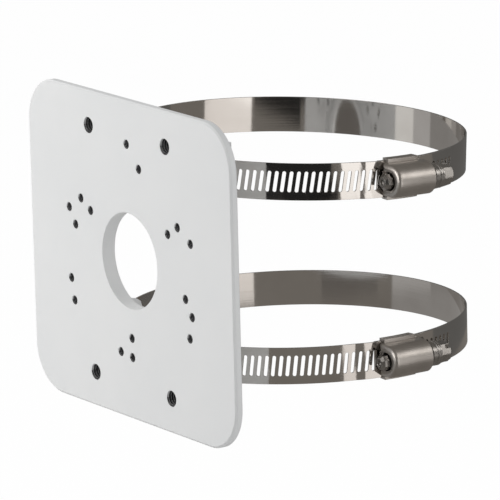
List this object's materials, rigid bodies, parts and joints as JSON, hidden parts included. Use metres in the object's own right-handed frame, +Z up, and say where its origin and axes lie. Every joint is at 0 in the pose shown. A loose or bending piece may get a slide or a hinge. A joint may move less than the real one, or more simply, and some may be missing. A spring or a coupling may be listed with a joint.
{
  "type": "camera pole mount bracket",
  "caption": "Cast wall plate with a cable hole, tapped camera holes and V cradles behind it, held to a pole by worm-drive band clamps.",
  "frame": {"origin": "centre of the cable hole on the plate's front face", "axes": "+X to the right seen from the front, +Y from the plate's front face towards the pole, +Z up along the pole"},
  "size_m": [0.1654, 0.1621, 0.14],
  "materials": {
    "powder_coated_cast_aluminium": "fine white powder coat, slightly warm, low sheen",
    "stainless_band": "bright rolled stainless strip with fine grain along its length",
    "stainless_pressing": "satin pressed stainless sheet",
    "stainless_screw": "turned stainless, satin"
  },
  "bodies": {
    "bracket": {"mount_plate": "powder_coated_cast_aluminium"},
    "upper_clamp": {"upper_band": "stainless_band", "upper_saddle": "stainless_pressing", "upper_housing": "stainless_pressing"},
    "upper_screw": {"upper_worm_screw": "stainless_screw"},
    "lower_clamp": {"lower_band": "stainless_band", "lower_saddle": "stainless_pressing", "lower_housing": "stainless_pressing"},
    "lower_screw": {"lower_worm_screw": "stainless_screw"}
  },
  "joints": [
    {"name": "upper_clamp_turn", "type": "hinge", "parent": "bracket", "child": "upper_clamp", "pos_m": [0, 0.08644, 0.03736], "axis": [0.0089, 0.0427, 0.9991], "range_deg": [-45, 214]},
    {"name": "upper_screw_turn", "type": "hinge", "parent": "upper_clamp", "child": "upper_screw", "pos_m": [0.08113, 0.08786, 0.03658], "axis": [-0.0178, 0.9989, -0.0425], "continuous": true},
    {"name": "lower_clamp_turn", "type": "hinge", "parent": "bracket", "child": "lower_clamp", "pos_m": [0, 0.08559, -0.04251], "axis": [-0.0187, 0.0096, 0.9998], "range_deg": [-45, 214]},
    {"name": "lower_screw_turn", "type": "hinge", "parent": "lower_clamp", "child": "lower_screw", "pos_m": [0.08113, 0.08489, -0.04099], "axis": [0.0089, 0.9999, -0.0094], "continuous": true}
  ]
}
